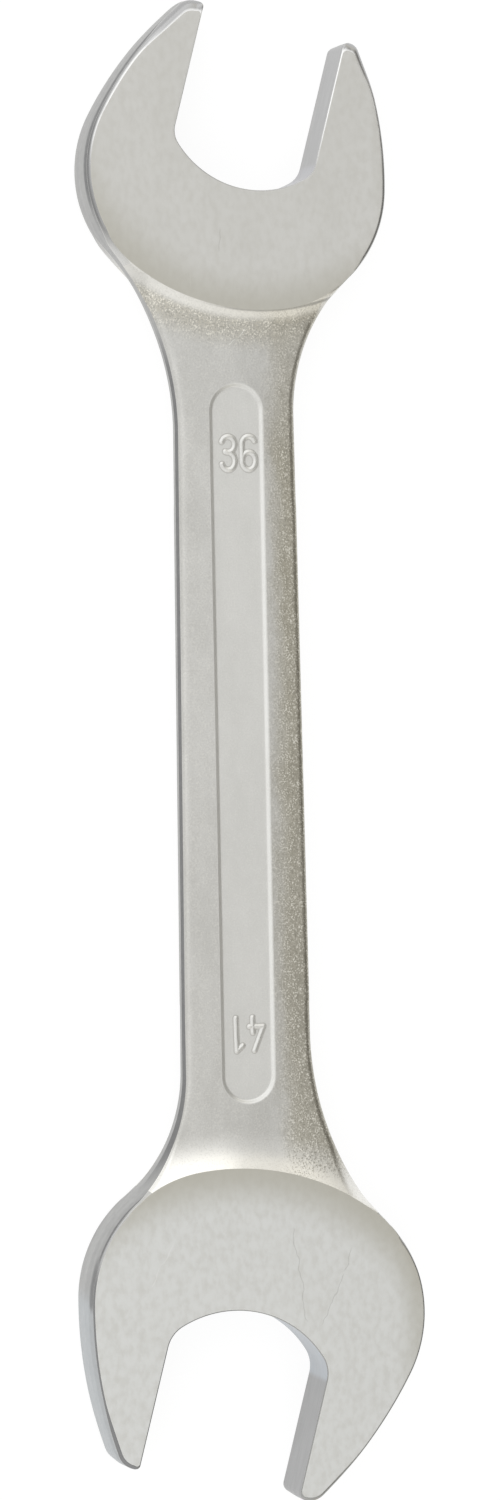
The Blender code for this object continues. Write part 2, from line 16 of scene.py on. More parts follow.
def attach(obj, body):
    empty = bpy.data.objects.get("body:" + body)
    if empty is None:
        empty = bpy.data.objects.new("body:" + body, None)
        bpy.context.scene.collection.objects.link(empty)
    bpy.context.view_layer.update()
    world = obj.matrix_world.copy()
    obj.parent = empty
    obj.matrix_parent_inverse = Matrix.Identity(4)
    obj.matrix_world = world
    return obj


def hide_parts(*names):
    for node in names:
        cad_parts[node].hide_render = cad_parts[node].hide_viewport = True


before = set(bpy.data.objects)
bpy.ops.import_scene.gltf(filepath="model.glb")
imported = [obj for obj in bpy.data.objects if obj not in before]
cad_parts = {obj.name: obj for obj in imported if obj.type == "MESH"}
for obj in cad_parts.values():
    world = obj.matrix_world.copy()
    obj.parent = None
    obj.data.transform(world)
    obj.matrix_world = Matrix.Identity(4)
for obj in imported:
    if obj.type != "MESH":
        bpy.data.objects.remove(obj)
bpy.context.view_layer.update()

MM = 0.001
NUT_SPAN = 316.7
LEFT, RIGHT = 1, -1
FRONT, BACK = 1, -1
GROUND, FORGED, WALL, JAW, RIM = range(5)
# The marks that the finishes read; the first places a painted highlight on the rims
MARKS = ("worn", "rimmed", "stroke", "sunk")

# Where the wrench's own frame sits in the row frame
ROW_PLACE = np.array([-0.1204, 0.4559, 7.35])

# Rims and walls of the heads
HEAD_DRAFT = math.radians(3)
JAW_RIM = 0.25
TIP_RIM_REACH = 10.0
THROAT_BLEND = 0.8

# Shank
SHANK_SMALL_WIDTH = 28.1
SHANK_LARGE_WIDTH = 33.3
SHANK_THICKNESS = 9.2
SHANK_EDGE_THICKNESS = 7.6
SHANK_DRAFT = math.radians(5)
EDGE_WALL = 2.2
EDGE_ROUND = 1.6

# What changes along a flare, between two lengths past the point where it leaves the head
DRAFT_CHANGE = (-2, 10)
RIM_FADE = (-10, 5)
BITE_FADE = (-10, -1)

# The length over which the wall and inset are averaged, and how finely
BLEND_LENGTH = 3.0
BLEND_STEP = 0.25

# Insets: wide ones are partly flat slopes, and none goes in past the edge of a ground face
WEB_FLAT_SHARE = 0.6
WEB_INSETS = (0.9, 2.5)
WEB_START = 60
FREE_INSET = 9.0
FACE_DEPTHS = np.arange(6, 0.3, -0.02)
FACE_BITE = 0.05

# Painted highlight along the heads' edges: how much at places along the wrench, and at which rims and insets
PAINTED_GLINT_PLACES = (-125, -119, -100, 132, 141, 150, 160)
PAINTED_GLINT_SHARES = (0.0, 0.35, 0.45, 0.15, 0.3, 0.9, 1.0)
PAINTED_GLINT_RIMS = (1.4, 2.6)
PAINTED_GLINT_INSETS = (0.21, 0.51)
LEAST_RIMMED = 0.002

# Sunk panel, and the sizes raised on its floor
PANEL_ENDS = (88.85, -83.22)
PANEL_WIDTH = 11.9
PANEL_ASIDE = 0.6
PANEL_DEPTH = 0.8
PANEL_WALL = 0.6
PANEL_ROUND = 0.2
SUNK_MARGIN = 0.3
NUMBER_HEIGHT = 8.0
NUMBER_STROKE = 1.0
NUMBER_RISE = 0.36
NUMBER_GAP = 1.8
NUMBER_SETBACK = 16.0

# Shares of a stroke's half width between which its rise, and the mark for its finish, go from full to none
STROKE_RISE_SHARES = (0.15, 1.25)
STROKE_MARK_SHARES = (0.4, 2.0)

# Fineness of the rings up the edge, and of the plan inside the rim
OUTLINE_STEP = 0.5
WALL_SHARES = (0.35, 0.7, 1.0)
ROUND_STEPS = 6
SUPPORT = 0.3
SUPPORT_CLEARANCE = 0.24
PANEL_LOOPS = (-0.4, -0.2, -0.05, 0.1, 0.25, 0.4, 0.55, 0.7, 0.85, 1.0, 1.3)
PANEL_END_STEP = 0.36
PANEL_SIDE_STEP = 1.2
FACE_LOOPS = (0, 0.15, 0.4, 0.8, 1.3, 1.9, 2.6, 3.4, 4.4, 5.5, 7, 9, 11.5)
FACE_LOOP_STEP = 0.6
FACE_LOOP_OVERRUN = 0.9
CREASE_CLEARANCE = 0.04
LOOP_CLEARANCE = 0.25
NUMBER_GRID_STEP = 0.16
NUMBER_GRID_SIDE = 5.2
NUMBER_GRID_MARGIN = 0.5
GRID_STEP = 1.5
GRID_REACH = (185, 45)
GRID_RIM_CLEARANCE = 0.5 * GRID_STEP
GRID_CLEARANCE = 0.55 * GRID_STEP
FACE_THINNING = 3
FACE_MARGIN = 1

# The mesh's tolerances, and the angle from which an edge is sharp
MERGE_DISTANCE = 1e-5
SHARP_ANGLE = math.radians(27)
LEVEL_TOLERANCE = 1e-7


@dataclass
class Tip:
    """The end of a cheek in plan: an arc off the jaw's flat, and a wider nose that meets the cheek.

    The ground face ends short of it by a cut along the jaw, which fades out over a reach.
    """

    end: float
    nose: float
    cut: float
    cut_reach: float


@dataclass
class Flare:
    """A concave curve between the shank's side and a head, and how the edge's section changes along it.

    It has the height of the wall, and how far the rounding or slope above the wall goes in, at some lengths
    past the point where the flare leaves the head.
    """

    radius: float
    lengths: tuple
    walls: tuple
    insets: tuple


@dataclass
class Head:
    """One end of the wrench. Its own frame has u along the jaw, out of its mouth, and v to the left of u."""

    jaw: float
    thickness: float
    throat_depth: float
    throat_relief: float
    corner_round: float
    cheek_wall: float
    cheek_radius: float
    cheek_turn: float
    shoulder_radius: float
    back_radius: float
    back_wall: float
    nut: tuple
    heading: float
    rim: float
    tip_rim: float
    tip_drop: float
    ramp: float
    ramp_side: float
    tips: dict
    flares: dict

    def __post_init__(self):
        """Centres of the arcs that make half of the outline, on the side where v is positive."""
        self.towards = math.copysign(1, self.nut[0])
        self.throat_radius = self.jaw / 2 + self.throat_relief
        self.throat_u = self.throat_radius - self.throat_depth
        self.corner_v = self.jaw / 2 - self.corner_round
        to_corner = self.throat_radius - self.corner_round
        self.corner_u = self.throat_u - math.sqrt(to_corner**2 - self.corner_v**2)
        self.back_u = self.back_radius - self.throat_depth - self.back_wall
        self.shoulder_v = self.jaw / 2 + self.cheek_wall - self.shoulder_radius
        to_shoulder = self.back_radius - self.shoulder_radius
        self.shoulder_u = self.back_u - math.sqrt(to_shoulder**2 - self.shoulder_v**2)
        self.back_turn = math.atan2(self.shoulder_v, self.back_u - self.shoulder_u)
        lean = self.cheek_radius - self.shoulder_radius
        self.cheek_u = self.shoulder_u - lean * math.sin(self.cheek_turn)
        self.cheek_v = self.shoulder_v - lean * math.cos(self.cheek_turn)

    def holds(self, points):
        return np.sign(points[:, 0]) == self.towards

    def turn(self, vectors):
        cos, sin = math.cos(self.heading), math.sin(self.heading)
        return np.asarray(vectors) @ np.array([[cos, sin], [-sin, cos]])

    def world(self, points):
        return self.turn(points) + self.nut

    def own(self, points):
        cos, sin = math.cos(self.heading), math.sin(self.heading)
        return (np.asarray(points) - self.nut) @ np.array([[cos, -sin], [sin, cos]])

    def shoulder(self, side):
        """Centre of the shoulder's arc on the wrench's left or right."""
        v = self.shoulder_v * side * math.copysign(1, math.cos(self.heading))
        return self.world([self.shoulder_u, v])

    def edge(self):
        """How far the ground face's edge lies inside the outline."""
        return self.thickness / 2 * math.tan(HEAD_DRAFT)

    def off(self, points):
        """Distance of points behind the edge of the ground face, negative on it."""
        own = self.own(points)
        u, v = own[..., 0], own[..., 1]
        turn = np.arctan2(v, self.back_u - u)
        back = np.hypot(u - self.back_u, v) - self.back_radius
        shoulder = np.hypot(u - self.shoulder_u, np.abs(v) - self.shoulder_v) - self.shoulder_radius
        off = np.where(np.abs(turn) > self.back_turn, shoulder, back) + self.edge()
        return np.where(u > self.shoulder_u, -1, off)

    def behind(self, distance, turns):
        """Points at a distance off the ground face's edge, for turns from the middle of the back."""
        beyond = np.abs(turns) > self.back_turn
        u = np.where(beyond, self.shoulder_u, self.back_u)
        v = np.where(beyond, np.sign(turns) * self.shoulder_v, 0)
        radius = np.where(beyond, self.shoulder_radius, self.back_radius) + distance - self.edge()
        return self.world(np.stack([u - radius * np.cos(turns), v + radius * np.sin(turns)], axis=-1))


SMALL = Head(
    jaw=36.0,
    thickness=13.1,
    throat_depth=22.6,
    throat_relief=5.9,
    corner_round=5.5,
    cheek_wall=19.75,
    cheek_radius=87.0,
    cheek_turn=math.radians(13),
    shoulder_radius=29.6,
    back_radius=53.2,
    back_wall=29.0,
    nut=(NUT_SPAN / 2, -5.7),
    heading=math.radians(-15),
    rim=0.8,
    tip_rim=0.95,
    tip_drop=2.2,
    ramp=4.4,
    ramp_side=5.4,
    tips={LEFT: Tip(1.7, 4.6, 2.0, 15.0), RIGHT: Tip(2.3, 2.6, 1.5, 9.0)},
    flares={
        LEFT: Flare(
            68.0,
            (-22, -12, -5, -1, 5, 12, 19),
            (5.75, 5.6, 4.6, 2.2, 1.5, 1.6, EDGE_WALL),
            (0.8, 0.8, 0.7, 1.3, 3.0, 3.0, EDGE_ROUND),
        ),
        RIGHT: Flare(
            45.5,
            (-18, -4, 2, 8, 16),
            (5.75, 5.4, 4.5, 3.0, EDGE_WALL),
            (0.8, 0.8, 1.0, 2.0, EDGE_ROUND),
        ),
    },
)
LARGE = Head(
    jaw=41.0,
    thickness=14.7,
    throat_depth=24.8,
    throat_relief=6.0,
    corner_round=7.5,
    cheek_wall=21.92,
    cheek_radius=107.1,
    cheek_turn=math.radians(14),
    shoulder_radius=31.7,
    back_radius=60.1,
    back_wall=34.75,
    nut=(-NUT_SPAN / 2, 6.2),
    heading=math.radians(165),
    rim=0.4,
    tip_rim=0.6,
    tip_drop=0.5,
    ramp=7.0,
    ramp_side=11.0,
    tips={LEFT: Tip(1.4, 5.4, 0.4, 10.0), RIGHT: Tip(2.2, 5.0, 0.4, 10.0)},
    flares={
        LEFT: Flare(
            39.5,
            (-10, 0, 5, 9, 16, 30, 45),
            (7.0, 6.6, 5.4, 4.6, 3.4, 2.6, EDGE_WALL),
            (0.35, 0.6, 1.5, 1.2, 0.9, 1.4, EDGE_ROUND),
        ),
        RIGHT: Flare(
            72.0,
            (-14, -6, 0, 6, 14, 24, 40),
            (7.0, 6.2, 4.6, 2.6, 1.8, EDGE_WALL, EDGE_WALL),
            (0.35, 0.6, 1.6, 3.4, 3.6, 1.8, EDGE_ROUND),
        ),
    },
)
HEADS = (SMALL, LARGE)

# Marks of use, each from one place to another in the row frame, in millimetres
DARK_HAIRLINES = (
    ((-113.8, -8.2), (-137.6, -11.5)),
    ((-119.8, -23.1), (-126.0, -21.5)),
    ((-126.0, -21.5), (-138.8, -15.3)),
    ((126.8, 4.3), (120.6, 5.1)),
)
LIGHT_HAIRLINES = (((-116.0, 21.9), (-122.1, 24.8)), ((-122.1, 24.8), (-127.1, 26.9)))
NECK_SCRATCHES = (((98.3, 3.0), (100.4, 0.9)), ((100.3, 0.4), (102.9, -2.2)))

# The numerals' strokes, in shares of the numeral's height, from its lower left corner
NUMERAL_WIDTHS = {"1": 0.21, "3": 0.42, "4": 0.44, "6": 0.42}
NUMERAL_LINES = {
    "1": [[(0.0, 0.84), (0.18, 1.0), (0.20, 0.0)]],
    "4": [[(0.29, 1.0), (0.0, 0.28), (0.44, 0.27)], [(0.33, 0.46), (0.34, 0.0)]],
}
LOOP_WIDTH = 0.21
UPPER_LOOP = 0.235
LOWER_LOOP = 0.265
LOOP_POINTS = 25


def ease(share):
    """A share held between 0 and 1 and smoothed at both ends."""
    kept = np.clip(share, 0, 1)
    return kept**2 * (3 - 2 * kept)


def rising(value, low, high):
    return ease((value - low) / (high - low))


def falling(value, low, high):
    return ease((high - value) / (high - low))


def half_width(x):
    share = (NUT_SPAN / 2 - x) / NUT_SPAN
    return (SHANK_SMALL_WIDTH + (SHANK_LARGE_WIDTH - SHANK_SMALL_WIDTH) * share) / 2


def arc(centre, radius, start, end, facing, step=OUTLINE_STEP):
    """Points along an arc, each with the normal that faces out of the steel."""
    count = max(4, math.ceil(abs(end - start) * radius / step))
    angles = np.linspace(start, end, count + 1)
    rays = np.stack([np.cos(angles), np.sin(angles)], axis=-1)
    return np.hstack([np.asarray(centre) + radius * rays, facing * rays])


def straight(start, end, step):
    """Rows between two others, along a straight line."""
    count = math.ceil(np.linalg.norm(end[:2] - start[:2]) / step)
    shares = np.linspace(0, 1, count + 1)[1:-1, None]
    return start * (1 - shares) + end * shares


def flare_curve(head, side):
    """Points and outward normals along a flare, from the head to where the shank's straight side begins."""
    radius = head.flares[side].radius
    centre = head.shoulder(side)
    start = np.array([0.0, side * half_width(0)])
    along = np.array([head.nut[0], side * half_width(head.nut[0])]) - start
    along /= np.linalg.norm(along)
    out = np.array([-along[1], along[0]]) * side * head.towards
    lead = start + out * radius - centre
    apart = head.shoulder_radius + radius
    run = -lead @ along - math.sqrt((lead @ along) ** 2 - lead @ lead + apart**2)
    pivot = start + out * radius + along * run
    inward = (centre - pivot) / np.linalg.norm(centre - pivot)
    first = math.atan2(inward[1], inward[0])
    last = math.atan2(-out[1], -out[0])
    sweep = (last - first + math.pi) % (2 * math.pi) - math.pi
    return arc(pivot, radius, first, first + sweep, -1)


def half_head(head, contact, tip):
    """Half of a head's outline where v is positive, from the throat's middle to where a flare leaves it.

    Each row has the point, its normal, its share of the outer wall's draft, its nearness to the tip, and
    how far the ground face is cut back there.
    """
    tip_v = head.jaw / 2 + tip.end
    nose_u = head.cheek_u + math.sqrt((head.cheek_radius - tip.nose) ** 2 - (tip_v - head.cheek_v) ** 2)
    corner_turn = math.atan2(head.corner_v, head.corner_u - head.throat_u)
    nose_turn = math.atan2(tip_v - head.cheek_v, nose_u - head.cheek_u)
    quarter = math.pi / 2
    cheek_end = quarter - head.cheek_turn
    leave = math.atan2(contact[1] - head.shoulder_v, contact[0] - head.shoulder_u)
    throat = arc((head.throat_u, 0), head.throat_radius, math.pi, corner_turn, -1)
    corner = arc((head.corner_u, head.corner_v), head.corner_round, corner_turn, quarter, -1)
    tip_end = arc((nose_u + tip.nose - tip.end, tip_v), tip.end, -quarter, 0, 1, OUTLINE_STEP / 2)
    nose = arc((nose_u, tip_v), tip.nose, 0, nose_turn, 1, OUTLINE_STEP / 2)
    cheek = arc((head.cheek_u, head.cheek_v), head.cheek_radius, nose_turn, cheek_end, 1)
    shoulder = arc((head.shoulder_u, head.shoulder_v), head.shoulder_radius, cheek_end, leave, 1)
    flat = straight(corner[-1], tip_end[0], OUTLINE_STEP)
    rows = np.vstack([throat, corner[1:], flat, tip_end, nose[1:], cheek[1:], shoulder[1:]])
    outer = np.zeros(len(rows))
    first_outer = len(throat) + len(corner) - 1 + len(flat)
    outer[first_outer:] = np.clip((rows[first_outer:, 3] + 1) / 2, 0, 1)
    from_nose = np.hypot(rows[:, 0] - nose_u, rows[:, 1] - tip_v) - tip.nose
    near_tip = np.clip(1 - from_nose / TIP_RIM_REACH, 0, 1)
    cut = tip.cut * ease(1 - from_nose / tip.cut_reach)
    return np.hstack([rows, np.stack([outer, near_tip, cut], axis=-1)])


def whole_head(head):
    """A head's outline from the flare on its own right, round the jaw, to the flare on its own left."""
    own_left = LEFT if head is SMALL else RIGHT
    halves = []
    for side, mirror in ((own_left, 1), (-own_left, -1)):
        contact = head.own(flare_curve(head, side)[0, :2]) * [1, mirror]
        halves.append(half_head(head, contact, head.tips[side]) * [1, mirror, 1, mirror, 1, 1, 1])
    rows = np.vstack([halves[1][::-1][:-1], halves[0]])
    return np.hstack([head.world(rows[:, :2]), head.turn(rows[:, 2:4]), rows[:, 4:]])


@dataclass
class Outline:
    """The closed outline at the parting line, with the section of the edge at each point."""

    points: np.ndarray
    normals: np.ndarray
    wall: np.ndarray
    inset: np.ndarray
    slope: np.ndarray
    flat: np.ndarray
    on_head: np.ndarray
    jaw: np.ndarray
    cut: np.ndarray
    rimmed: np.ndarray
    worn: np.ndarray

    def on_wall(self, share):
        """The outline in plan at a share of the wall's height."""
        return self.points - self.normals * (self.wall * share * np.tan(self.slope))[:, None]

    def above_wall(self, inward):
        """The outline in plan above the wall, by the share of the inset and cut gone in at each point."""
        base = self.wall * np.tan(self.slope)
        place = self.points - self.normals * (base + self.inset * inward)[:, None]
        return place - self.cut * inward[:, None]


def smooth(values, lengths):
    """Values along the closed outline, averaged over a short length."""
    total = lengths[-1] + lengths[1]
    grid = np.arange(0, total, BLEND_STEP)
    fine = np.interp(grid, np.append(lengths, total), np.append(values, values[0]))
    count = int(BLEND_LENGTH / BLEND_STEP) | 1
    wrapped = np.concatenate([fine[-count:], fine, fine[:count]])
    averaged = np.convolve(wrapped, np.ones(count) / count, "same")[count:-count]
    return np.interp(lengths, grid, averaged)


def face_reach(points, normals, base):
    """How far the slope at each point may go in before it meets a ground face."""
    reach = np.full(len(points), FREE_INSET)
    for head in HEADS:
        for depth in FACE_DEPTHS:
            off = head.off(points - normals * (base + depth)[:, None])
            reach = np.where(head.holds(points) & (off < -FACE_BITE), depth, reach)
    return reach


def outline_rows():
    """The outline counter-clockwise: small head, left side, large head, right side.

    The rows are as in half_head. The second result has the row at which each run starts.
    """
    small_left, small_right = flare_curve(SMALL, LEFT), flare_curve(SMALL, RIGHT)
    large_left, large_right = flare_curve(LARGE, LEFT), flare_curve(LARGE, RIGHT)
    left_side = straight(small_left[-1], large_left[-1], 2 * OUTLINE_STEP)
    right_side = straight(large_right[-1], small_right[-1], 2 * OUTLINE_STEP)
    left = (small_left[1:], left_side, large_left[::-1][:-1])
    right = (large_right[1:], right_side, small_right[::-1][:-1])
    runs = []
    for head, side in ((SMALL, left), (LARGE, right)):
        runs.append(whole_head(head))
        runs += [np.hstack([run, np.tile([1.0, 0.0, 0.0], (len(run), 1))]) for run in side]
    return np.vstack(runs), np.cumsum([0] + [len(run) for run in runs])


def flare_sections(lengths, total, leaves):
    """What the nearest flare gives at each point of the outline, one row for each of six things.

    They are the wall's height, the inset, the slope, whether the point comes before the flare's first
    length, how far the inset may bite into a ground face, and how much of a head's rim is left.
    """
    nearest = np.full(len(lengths), np.inf)
    sections = np.zeros((6, len(lengths)))
    for head, side, start, direction in leaves:
        past = ((lengths - start) * direction + total / 2) % total - total / 2
        flare = head.flares[side]
        found = [
            np.interp(past, flare.lengths, flare.walls),
            np.interp(past, flare.lengths, flare.insets),
            HEAD_DRAFT + (SHANK_DRAFT - HEAD_DRAFT) * rising(past, *DRAFT_CHANGE),
            past < flare.lengths[0],
            falling(past, *BITE_FADE),
            falling(past, *RIM_FADE),
        ]
        closer = np.abs(past) < nearest
        nearest = np.where(closer, np.abs(past), nearest)
        sections = np.where(closer, found, sections)
    return sections


def wrench_outline():
    table, starts = outline_rows()
    points, normals = table[:, :2], table[:, 2:4]
    outer, near_tip, cuts = table[:, 4:].T
    lengths = np.concatenate([[0], np.cumsum(np.linalg.norm(np.diff(points, axis=0), axis=1))])
    total = lengths[-1] + np.linalg.norm(points[0] - points[-1])
    leaves = (
        (SMALL, LEFT, lengths[starts[1] - 1], 1),
        (LARGE, LEFT, lengths[starts[4]], -1),
        (LARGE, RIGHT, lengths[starts[5] - 1], 1),
        (SMALL, RIGHT, lengths[0], -1),
    )
    wall, inset, slope, before, bite, rimmed = flare_sections(lengths, total, leaves)
    wall = smooth(wall, lengths)
    inset = np.minimum(smooth(inset, lengths), face_reach(points, normals, wall * np.tan(slope)) + bite)

    on_head = np.zeros(len(points), bool)
    on_head[: starts[1]] = True
    on_head[starts[4] : starts[5]] = True
    plain = on_head & (before > 0)
    pairs = [(head.thickness, head.rim, head.tip_rim, head.tip_drop) for head in HEADS]
    thickness, side_rim, tip_rim, tip_drop = [np.where(points[:, 0] > 0, *pair) for pair in zip(*pairs)]
    at_tip = ease(near_tip) * ease(2 * outer)
    rim = JAW_RIM + (side_rim - JAW_RIM) * outer
    rim = rim + (tip_rim - rim) * at_tip
    drop = tip_drop * at_tip
    inset = np.where(plain, rim, inset)
    wall = np.where(plain, thickness / 2 - rim - drop, wall)
    flat = WEB_FLAT_SHARE * rising(inset, *WEB_INSETS) * (np.abs(points[:, 0]) > WEB_START)

    # A painted highlight on rims whose rounding above the wall is short, more at some places along the wrench
    worn = rimmed * falling(thickness / 2 - wall - drop, *PAINTED_GLINT_RIMS)
    worn = worn * np.interp(points[:, 0], PAINTED_GLINT_PLACES, PAINTED_GLINT_SHARES)
    cut = np.zeros_like(points)
    for head in HEADS:
        here = head.holds(points)
        cut[here] = head.turn([1, 0]) * cuts[here, None]
    jaw = (outer < 0.5) & on_head
    return Outline(points, normals, wall, inset, slope * outer, flat, on_head, jaw, cut, rimmed, worn)


def side_height(outline, x, side):
    """The shank's side line, as y at each x, held level inside the heads."""
    chosen = ~outline.on_head & (np.sign(outline.points[:, 1]) == side)
    line = outline.points[chosen]
    line = line[np.argsort(line[:, 0])]
    return np.interp(x, line[:, 0], line[:, 1])


def loop_points(centre, height, start, end):
    turns = np.radians(np.linspace(start, end, LOOP_POINTS))
    return np.column_stack([LOOP_WIDTH * (1 + np.cos(turns)), centre + height * np.sin(turns)])


def numeral_strokes(numeral):
    if numeral in NUMERAL_LINES:
        return [np.array(stroke) for stroke in NUMERAL_LINES[numeral]]
    upper = 1 - UPPER_LOOP
    if numeral == "3":
        return [loop_points(upper, UPPER_LOOP, 160, -115), loop_points(LOWER_LOOP, LOWER_LOOP, 74, -160)]
    stem = np.vstack([loop_points(upper, UPPER_LOOP, 25, 180), [(0.0, LOWER_LOOP)]])
    return [stem, loop_points(LOWER_LOOP, LOWER_LOOP, 0, 360)]


def number_middle(head, end):
    return end - head.towards * NUMBER_SETBACK


def number_lines():
    """The strokes of both numbers on the front face, as polylines in plan."""
    lines = []
    for number, head, end in zip(("36", "41"), HEADS, PANEL_ENDS):
        middle = number_middle(head, end)
        widths = [NUMERAL_WIDTHS[numeral] * NUMBER_HEIGHT for numeral in number]
        across = -(sum(widths) + NUMBER_GAP * (len(number) - 1)) / 2
        for numeral, width in zip(number, widths):
            for stroke in numeral_strokes(numeral):
                x = middle + head.towards * (stroke[:, 1] - 0.5) * NUMBER_HEIGHT
                y = -head.towards * (across + stroke[:, 0] * NUMBER_HEIGHT)
                lines.append(np.column_stack([x, y]))
            across += width + NUMBER_GAP
    return lines


def panel_distance(points):
    """Distance of points outside the panel floor's outline, negative inside."""
    half = PANEL_WIDTH / 2
    x = np.clip(points[:, 0], PANEL_ENDS[1] + half, PANEL_ENDS[0] - half)
    return np.hypot(points[:, 0] - x, points[:, 1] - PANEL_ASIDE) - half


def stroke_distance(points, lines):
    best = np.full(len(points), np.inf)
    for line in lines:
        for start, end in zip(line[:-1], line[1:]):
            run = end - start
            share = np.clip((points - start) @ run / (run @ run), 0, 1)
            gap = points - start - share[:, None] * run
            best = np.minimum(best, np.hypot(gap[:, 0], gap[:, 1]))
    return best


def stroke_share(points, facing, full, none):
    """1 on the numbers' strokes and 0 away from them, between two shares of a stroke's half width."""
    near = np.abs(panel_distance(points) + PANEL_WIDTH / 2) < PANEL_WIDTH / 2
    reach = stroke_distance(points[near] * [1, facing], number_lines()) / (NUMBER_STROKE / 2)
    share = np.zeros(len(points))
    share[near] = 1 - rising(reach, full, none)
    return share


def surface(outline, points, facing):
    """Height of the upper surface over points in plan, on the front or the back."""
    left = side_height(outline, points[:, 0], LEFT)
    right = side_height(outline, points[:, 0], RIGHT)
    across = np.clip(np.abs(2 * (points[:, 1] - right) / (left - right) - 1), 0, 1) ** 2
    crown = (SHANK_THICKNESS - (SHANK_THICKNESS - SHANK_EDGE_THICKNESS) * across) / 2
    height = crown.copy()
    for head in HEADS:
        ramp = head.ramp + (head.ramp_side - head.ramp) * across
        lift = np.clip(1 - head.off(points) / ramp, 0, 1) ** 2
        height = np.where(head.holds(points), crown + (head.thickness / 2 - crown) * lift, height)
    floor = SHANK_THICKNESS / 2 - PANEL_DEPTH
    height = floor + (height - floor) * rising(panel_distance(points), -PANEL_ROUND, PANEL_WALL + PANEL_ROUND)
    return height + NUMBER_RISE * stroke_share(points, facing, *STROKE_RISE_SHARES)


def tree_of(points):
    tree = kdtree.KDTree(len(points))
    for index, point in enumerate(points):
        tree.insert((*point, 0), index)
    tree.balance()
    return tree


def clear_of(tree, points, margin):
    return np.array([tree.find((*point, 0))[2] >= margin for point in points], bool)


def inside(points, polygon, margin):
    """Which points lie inside a polygon, and clear of its own points by a margin."""
    x, y = points[:, 0], points[:, 1]
    crossings = np.zeros(len(points), int)
    for (x0, y0), (x1, y1) in zip(polygon, np.roll(polygon, -1, axis=0)):
        if y0 == y1:
            continue
        spans = (y0 > y) != (y1 > y)
        crossings += spans & (x < (x1 - x0) * (y - y0) / (y1 - y0) + x0)
    kept = crossings % 2 == 1
    kept[kept] = clear_of(tree_of(polygon), points[kept], margin)
    return kept


class Plan:
    """Points in plan for the upper surface inside the rim, with edges that keep its creases."""

    def __init__(self):
        self.points = np.empty((0, 2))
        self.edges = []

    def add(self, run, joined=False, closed=False):
        first, last = len(self.points), len(self.points) + len(run) - 1
        self.points = np.vstack([self.points, run])
        if joined:
            self.edges += [(index, index + 1) for index in range(first, last)]
        if closed:
            self.edges.append((last, first))


def panel_loop(spread):
    """A closed loop round the panel's floor, at a distance outside it."""
    inner = PANEL_WIDTH / 2
    half = inner + spread
    turns = np.linspace(-math.pi / 2, math.pi / 2, math.ceil(math.pi * half / PANEL_END_STEP) + 1)
    small_end = np.column_stack([PANEL_ENDS[0] - inner + half * np.cos(turns), half * np.sin(turns)])
    large_end = np.column_stack([PANEL_ENDS[1] + inner - half * np.cos(turns), -half * np.sin(turns)])
    xs = np.arange(PANEL_ENDS[1] + inner, PANEL_ENDS[0] - inner, PANEL_SIDE_STEP)[1:]
    upper = np.column_stack([xs[::-1], np.full(len(xs), half)])
    lower = np.column_stack([xs, np.full(len(xs), -half)])
    return np.vstack([small_end, upper, large_end, lower]) + [0, PANEL_ASIDE]


def face_loop(head, distance, rim):
    """A run at a distance behind the edge of a ground face, where it lies inside the rim."""
    reach = head.back_turn + FACE_LOOP_OVERRUN
    count = math.ceil(2 * reach * head.back_radius / FACE_LOOP_STEP)
    run = head.behind(distance, np.linspace(-reach, reach, count))
    return run[inside(run, rim, LOOP_CLEARANCE if distance else CREASE_CLEARANCE)]


def number_grid(head, end):
    middle = number_middle(head, end)
    reach = NUMBER_HEIGHT / 2 + NUMBER_STROKE
    xs = np.arange(middle - reach, middle + reach, NUMBER_GRID_STEP)
    ys = np.arange(-NUMBER_GRID_SIDE, NUMBER_GRID_SIDE, NUMBER_GRID_STEP)
    grid = np.stack(np.meshgrid(xs, ys), axis=-1).reshape(-1, 2)
    return grid[panel_distance(grid) < -NUMBER_GRID_MARGIN]


def coarse_grid(rim, placed):
    """A staggered grid over the rest of the plan, thinned on the flat ground faces."""
    xs, ys = [np.arange(-reach, reach, GRID_STEP) for reach in GRID_REACH]
    grid = np.stack(np.meshgrid(xs, ys), axis=-1)
    grid[1::2, :, 0] += GRID_STEP / 2
    grid = grid.reshape(-1, 2)
    off = np.minimum(SMALL.off(grid) * np.sign(grid[:, 0]), LARGE.off(grid) * -np.sign(grid[:, 0]))
    thinned = (grid[:, 0] // GRID_STEP + grid[:, 1] // GRID_STEP) % FACE_THINNING == 0
    grid = grid[thinned | (off >= -FACE_MARGIN)]
    grid = grid[inside(grid, rim, GRID_RIM_CLEARANCE)]
    return grid[clear_of(tree_of(placed), grid, GRID_CLEARANCE)]


def plan_inside(outline, rim):
    plan = Plan()
    support = rim - outline.normals * SUPPORT
    plan.add(support[inside(support, rim, SUPPORT_CLEARANCE)])
    for spread in PANEL_LOOPS:
        plan.add(panel_loop(spread), joined=True, closed=True)
    for head in HEADS:
        for distance in FACE_LOOPS:
            plan.add(face_loop(head, distance, rim), joined=distance == 0)
    for head, end in zip(HEADS, PANEL_ENDS):
        plan.add(number_grid(head, end))
    plan.add(coarse_grid(rim, plan.points))
    return plan


def triangulated(outline, rim):
    """The upper surface in plan: its points, its triangles, and the point that each one of the rim became."""
    count = len(rim)
    plan = plan_inside(outline, rim)
    edges = [(i, (i + 1) % count) for i in range(count)] + [(a + count, b + count) for a, b in plan.edges]
    every = [Vector(point) for point in np.vstack([rim, plan.points])]
    found = geometry.delaunay_2d_cdt(every, edges, [], 1, MERGE_DISTANCE)
    at_rim = {one: index for index, ones in enumerate(found[3]) for one in ones if one < count}
    return np.array([tuple(point) for point in found[0]]), found[2], at_rim


def point_rows(plan, height, **marks):
    """Rows of a point's place in plan, its height, and the marks that the finishes read, 0 if not given."""
    columns = [np.broadcast_to(marks.get(name, 0.0), len(plan)) for name in MARKS]
    return np.column_stack([plan, height, *columns])


